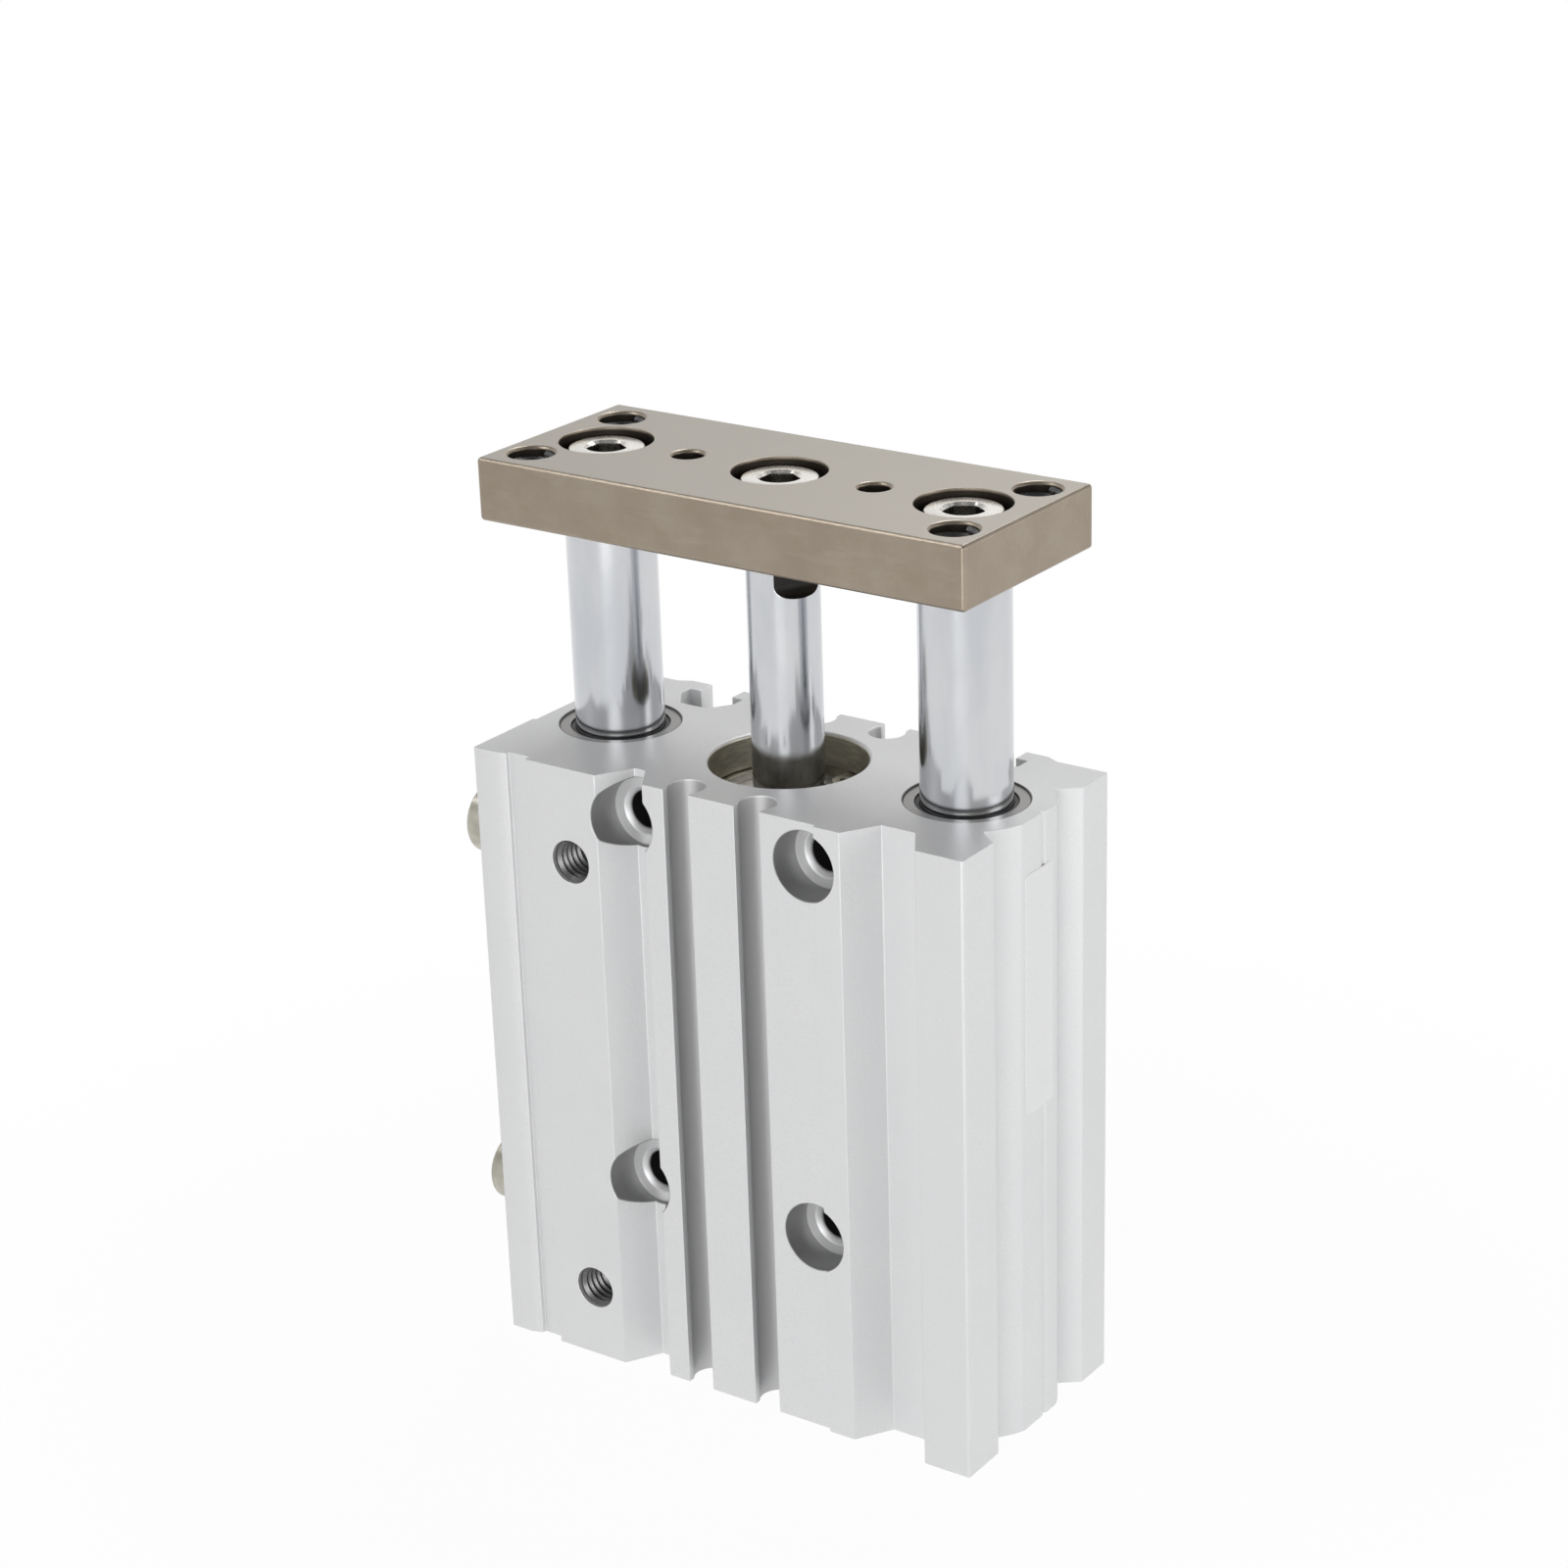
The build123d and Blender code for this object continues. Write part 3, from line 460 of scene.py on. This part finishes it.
# Painted shade: the thread is coloured nearly black, for the shade down in its hole.
feed(shader, "Base Color", blend(ease(speck, 0.3, 0.7), (0.10, 0.10, 0.10), (0.2, 0.2, 0.2)))
feed(shader, "Roughness", 0.3 + 0.15 * speck)
relief(shader, speck, 0.003 * mm)
shader.inputs["Metallic"].default_value = 1.0
thread_pitch = 0.8 * mm
thread_root = tapped_radius + 0.02 * mm
thread_crest = 2.1 * mm
crest_half = 0.08
runout_turns = 1.2
thread_steps = 28
port_depth = 5 * mm
back_depth = 12 * mm
foot_depth = 10 * mm
foot_x = 28 * mm
foot_y = 11 * mm


def tapped(mesh, mouth, inward, depth):
    """Add the ridge of a thread to a mesh: from a hole's mouth inwards, as deep as the thread goes."""
    turns = depth / thread_pitch - runout_turns
    lift = thread_pitch / 2
    shape = [
        (thread_root, 0),
        (thread_crest, 0.5 - crest_half),
        (thread_crest, 0.5 + crest_half),
        (thread_root, 1),
    ]
    start = [mesh.verts.new((radius, 0, up * thread_pitch + lift)) for radius, up in shape]
    edges = [mesh.edges.new((a, b)) for a, b in zip(start, start[1:] + start[:1])]
    steps = round(turns * thread_steps)
    spun = bmesh.ops.spin(
        mesh,
        geom=start + edges,
        cent=(0, 0, 0),
        axis=(0, 0, 1),
        dvec=(0, 0, thread_pitch / thread_steps),
        angle=2 * pi * steps / thread_steps,
        steps=steps,
        use_duplicate=False,
    )
    end = [item for item in spun["geom_last"] if isinstance(item, bmesh.types.BMVert)]
    bmesh.ops.contextual_create(mesh, geom=start)
    bmesh.ops.contextual_create(mesh, geom=end)
    made = [vertex for vertex in mesh.verts if not vertex.tag]
    turn = Vector((0, 0, 1)).rotation_difference(Vector(inward)).to_matrix().to_4x4()
    bmesh.ops.transform(mesh, matrix=Matrix.Translation(mouth) @ turn, verts=made)
    for vertex in made:
        vertex.tag = True


mesh = bmesh.new()
for level in port_levels:
    tapped(mesh, (port_x, body_low.y, level), (0, 1, 0), port_depth)
finish_piece(mesh, "port_threads", shade_dark_thread, "housing")

mesh = bmesh.new()
for x_place in (-mount_x, mount_x):
    for level in mount_levels:
        tapped(mesh, (x_place, body_high.y, level), (0, -1, 0), back_depth)
finish_piece(mesh, "back_threads", shade_dark_thread, "housing")

mesh = bmesh.new()
for x_place in (-foot_x, foot_x):
    for y_place in (-foot_y, foot_y):
        tapped(mesh, (x_place, y_place, body_low.z), (0, 0, 1), foot_depth)
finish_piece(mesh, "head_end_threads", shade_dark_thread, "housing")

mesh = bmesh.new()
for x_place in (-corner_x, corner_x):
    for y_place in (-corner_y, corner_y):
        tapped(mesh, (x_place, y_place, plate_high.z), (0, 0, -1), plate_high.z - plate_low.z)
finish_piece(mesh, "plate_threads", shade_dark_thread, "carriage")

# Bushes. Sintered metal sleeves pressed into the guide bores, two on each rod, turned on the face that shows.
# They carry the rods, and their oil leaves them satin grey.

sintered, shader, place = begin("sintered_bush")
x, y, z = split(place)
tool_step = 0.05 * mm
turning = x.node("ShaderNodeMath", {"operation": "SINE"}, {0: reach(abs(x) - guide_x, y) / tool_step})
pore = grain(place, 0.1 * mm)
feed(shader, "Base Color", blend(ease(pore, 0.3, 0.7), (0.27, 0.265, 0.26), (0.40, 0.39, 0.38)))
feed(shader, "Roughness", 0.3 + 0.1 * pore)
relief(shader, 0.5 + 0.2 * turning + 0.3 * pore, 0.006 * mm)
shader.inputs["Metallic"].default_value = 1.0
finish_nodes(["front_bush_left", "front_bush_right"], sintered, 0.05 * mm)
finish_nodes(["rear_bush_left", "rear_bush_right"], sintered, 0.05 * mm)

# Seals. Black nitrile rings: the wipers between the bushes and the rods, the lip seal in the collar, and the
# ring seals of the collar, the head cover and the piston, slightly shiny with grease.

nitrile, shader, place = begin("greased_nitrile")
speck = grain(place, 0.15 * mm)
grease = grain(place, 1.5 * mm)
feed(shader, "Base Color", blend(ease(speck, 0.3, 0.7), (0.012, 0.012, 0.013), (0.03, 0.029, 0.028)))
feed(shader, "Roughness", 0.34 + 0.25 * grease)
relief(shader, speck, 0.006 * mm)
finish_nodes(["bush_wiper_left", "bush_wiper_right", "rod_seal"], nitrile, 0.06 * mm)
finish_nodes(["collar_gasket", "head_gasket", "piston_seal"], nitrile, 0.06 * mm)

# Rod collar and head cover. Turned from aluminium bar and clear anodised: the collar guides and seals the
# piston rod at the floor of the recess, and the cover closes the head end of the bore.

turned_alloy, shader, place = begin("turned_anodised_alloy")
x, y, z = split(place)
tool_step = 0.04 * mm
turning = x.node("ShaderNodeMath", {"operation": "SINE"}, {0: reach(x, y) / tool_step})
speck = grain(place, 0.15 * mm)
feed(shader, "Base Color", blend(ease(speck, 0.3, 0.7), (0.74, 0.745, 0.75), (0.82, 0.82, 0.82)))
feed(shader, "Roughness", 0.3 + 0.12 * speck)
relief(shader, 0.5 + 0.25 * turning + 0.25 * speck, 0.006 * mm)
shader.inputs["Metallic"].default_value = 0.85
finish_nodes(["rod_collar", "head_cover"], turned_alloy, 0.06 * mm)

# Retaining rings. Open spring rings stamped from carbon steel, grey and stained with oil, snapped into their
# grooves over the collar and under the head cover.

spring_steel, shader, place = begin("oiled_spring_steel")
speck = grain(place, 0.2 * mm, detail=3.0)
stain = grain(place, 3 * mm, detail=3.0)
feed(shader, "Base Color", blend(ease(stain, 0.3, 0.7), (0.42, 0.39, 0.33), (0.58, 0.55, 0.49)))
feed(shader, "Roughness", 0.3 + 0.2 * speck)
relief(shader, speck, 0.006 * mm)
shader.inputs["Metallic"].default_value = 1.0
finish_nodes(["collar_retaining_ring", "head_retaining_ring"], spring_steel, 0.06 * mm)

# Side port plugs. Nickel-plated brass plugs with a hexagon socket, turned down on cream nylon washers over
# the two air ports of the left end that aren't in use.

plated_brass, shader, place = begin("plated_brass_plug")
speck = grain(place, 0.18 * mm)
cloud = grain(place, 2.5 * mm)
feed(shader, "Base Color", blend(ease(cloud, 0.3, 0.7), (0.40, 0.385, 0.33), (0.52, 0.50, 0.44)))
feed(shader, "Roughness", 0.26 + 0.14 * speck)
relief(shader, speck, 0.004 * mm)
shader.inputs["Metallic"].default_value = 1.0
finish_nodes(["port_plugs"], plated_brass, 0.08 * mm)

nylon, shader, place = begin("cream_nylon_washer")
speck = grain(place, 0.3 * mm)
feed(shader, "Base Color", blend(ease(speck, 0.3, 0.7), (0.60, 0.57, 0.50), (0.68, 0.655, 0.58)))
feed(shader, "Roughness", 0.42 + 0.15 * speck)
relief(shader, speck, 0.004 * mm)
finish_nodes(["plug_gaskets"], nylon, 0.06 * mm)

# Channel plug. A short turned steel pin, pressed into the drilled end of the air channel in the foot of the
# body and left a little below the face.

turned_steel, shader, place = begin("turned_steel_pin")
speck = grain(place, 0.12 * mm)
feed(shader, "Base Color", blend(ease(speck, 0.3, 0.7), (0.50, 0.50, 0.49), (0.62, 0.62, 0.61)))
feed(shader, "Roughness", 0.25 + 0.15 * speck)
relief(shader, speck, 0.004 * mm)
shader.inputs["Metallic"].default_value = 1.0
finish_nodes(["channel_plug"], turned_steel, 0.06 * mm)

# Piston, magnet and bumpers. The piston's two turned alloy halves grip a ring of bonded magnet, and an amber
# urethane ring on each face softens the end of the stroke. All of it runs inside the bore, out of sight.

machined_alloy, shader, place = begin("machined_piston_alloy")
speck = grain(place, 0.15 * mm, stretch=(6, 6, 1))
feed(shader, "Base Color", blend(ease(speck, 0.3, 0.7), (0.54, 0.54, 0.54), (0.66, 0.66, 0.65)))
feed(shader, "Roughness", 0.28 + 0.16 * speck)
relief(shader, speck, 0.004 * mm)
shader.inputs["Metallic"].default_value = 1.0
finish_nodes(["piston_head_side", "piston_rod_side"], machined_alloy, 0.06 * mm)

bonded_magnet, shader, place = begin("bonded_magnet")
speck = grain(place, 0.2 * mm, detail=3.0)
feed(shader, "Base Color", blend(ease(speck, 0.3, 0.7), (0.03, 0.03, 0.034), (0.06, 0.06, 0.065)))
feed(shader, "Roughness", 0.5 + 0.2 * speck)
relief(shader, speck, 0.008 * mm)
finish_nodes(["magnet_ring"], bonded_magnet, 0.06 * mm)

urethane, shader, place = begin("amber_urethane")
cloud = grain(place, 1.5 * mm)
feed(shader, "Base Color", blend(ease(cloud, 0.3, 0.7), (0.16, 0.09, 0.03), (0.24, 0.14, 0.05)))
feed(shader, "Roughness", 0.35 + 0.15 * cloud)
relief(shader, cloud, 0.01 * mm)
finish_nodes(["front_bumper", "rear_bumper"], urethane, 0.08 * mm)

# Name label. A strip of clear-coated film with rounded corners, stuck on the flat of the right end. Nothing
# is printed on it.

film_thickness = 0.06 * mm
label_corner = 0.6 * mm
label_low = Vector((body_high.x, -2.9 * mm, 39 * mm))
label_high = Vector((body_high.x + film_thickness, 2.6 * mm, 67 * mm))
film, shader, place = begin("bare_label_film")
speck = grain(place, 0.25 * mm)
sheen = grain(place, 6 * mm)
feed(shader, "Base Color", blend(ease(speck, 0.3, 0.7), (0.86, 0.865, 0.865), (0.90, 0.905, 0.905)))
feed(shader, "Roughness", 0.3 + 0.1 * sheen)
relief(shader, speck, 0.002 * mm)
mesh = bmesh.new()
bmesh.ops.create_cube(mesh, size=1.0)
bmesh.ops.scale(mesh, vec=label_high - label_low, verts=mesh.verts)
bmesh.ops.translate(mesh, vec=(label_low + label_high) / 2, verts=mesh.verts)
corners = [edge for edge in mesh.edges if abs(edge.verts[0].co.x - edge.verts[1].co.x) > film_thickness / 2]
bmesh.ops.bevel(
    mesh, geom=corners, offset=label_corner, segments=6, profile=0.5, affect="EDGES", material=-1
)
finish_piece(mesh, "bare_label", film, "housing")

# Floor. A sheet of matt white card that the cylinder stands on. The camera and the metal see it nearly white,
# so that it has no edge, and near the cylinder a part of the soft shadow stays.

card, shader, place = begin("matt_white_card")
x, y, z = split(place)
rays = place.node("ShaderNodeLightPath")
away = ease(reach(x, y), 50 * mm, 160 * mm)
seen_white = (rays.output("Is Camera Ray") + rays.output("Is Glossy Ray")) * (0.96 + 0.04 * away)
fibre = grain(place, 0.4 * mm)
feed(shader, "Base Color", blend(fibre, (0.88, 0.88, 0.88), (0.92, 0.92, 0.92)))
shader.inputs["Roughness"].default_value = 0.9
lit_card = Shade(place.tree, shader.outputs[0])
glow = place.node("ShaderNodeEmission")
surface = place.node("ShaderNodeMixShader", inputs={0: seen_white, 1: lit_card, 2: glow})
feed(place.tree.nodes["Material Output"], "Surface", surface)
floor_reach = 800 * mm
floor_shift = 400 * mm
floor_drop = 0.02 * mm
mesh = bmesh.new()
bmesh.ops.create_grid(mesh, x_segments=8, y_segments=8, size=floor_reach)
bmesh.ops.translate(mesh, vec=(0, floor_shift, -floor_drop), verts=mesh.verts)
data = bpy.data.meshes.new("floor")
mesh.to_mesh(data)
mesh.free()
floor = bpy.data.objects.new("floor", data)
bpy.context.scene.collection.objects.link(floor)
dress(floor, card)

# Backdrop and fill light. The room is a white tent, bright all round at the height of the cylinder and dim
# overhead. The camera sees it plain white, and polished metal mirrors it brighter than it lights.

world = bpy.data.worlds.new("white_tent")
bpy.context.scene.world = world
world.use_nodes = True
direction = Shade(world.node_tree).node("ShaderNodeTexCoord", output=0)
rays = direction.node("ShaderNodeLightPath")
up = split(direction)[2]
overhead = ease(up, 0.25, 0.8)
under = ease(up, -0.02, -0.2)
lit = (0.3 + 0.7 * rays.output("Is Glossy Ray")) * (1.0 - 0.85 * overhead) * (1.0 - 0.5 * under)
background = world.node_tree.nodes["Background"]
background.inputs["Color"].default_value = (1, 1, 1, 1)
feed(background, "Strength", lit + (1.0 - lit) * rays.output("Is Camera Ray"))

# Lamps. One softbox hangs high at the back, and the plate shades its light from the middle of the body's
# top. A small one at the front left draws the plate's edges. Two low ones, at the front and at the right,
# light the body's sides.

cylinder_middle = Vector((0, 0, 50 * mm))


def softbox(name, place, size, watts):
    """Hang a square softbox at a place and turn it to the cylinder."""
    data = bpy.data.lights.new(name, "AREA")
    data.shape = "SQUARE"
    data.size = size
    data.energy = watts
    lamp = bpy.data.objects.new(name, data)
    lamp.location = place
    lamp.rotation_euler = (cylinder_middle - Vector(place)).to_track_quat("-Z", "Y").to_euler()
    bpy.context.scene.collection.objects.link(lamp)


softbox("back_high", (-0.05, 0.25, 0.5), 0.2, 0.8)
softbox("left_front", (-0.25, -0.2, 0.48), 0.12, 0.5)
softbox("front", (0.2, -0.5, 0.12), 0.3, 1.3)
softbox("right", (0.5, 0.15, 0.2), 0.3, 0.9)

# Camera. It looks down on the cylinder from the front right, as the photograph does. Its place, turn and lens
# were fitted to the cylinder's corners there.

camera_data = bpy.data.cameras.new("camera")
camera_data.lens = 82.86
camera_data.sensor_width = 36
camera_data.shift_x = -0.087
camera_data.shift_y = 0.0833
camera = bpy.data.objects.new("camera", camera_data)
azimuth = radians(33.477)
elevation = radians(23.393)
roll = radians(-0.944)
turn = Matrix.Rotation(azimuth, 3, "Z")
tilt = Matrix.Rotation(pi / 2 - elevation, 3, "X")
camera.rotation_euler = (turn @ tilt @ Matrix.Rotation(roll, 3, "Z")).to_euler()
camera.location = (0.2146, -0.2990, 0.2133)
bpy.context.scene.collection.objects.link(camera)
bpy.context.scene.camera = camera
bpy.context.scene.view_settings.view_transform = "Standard"
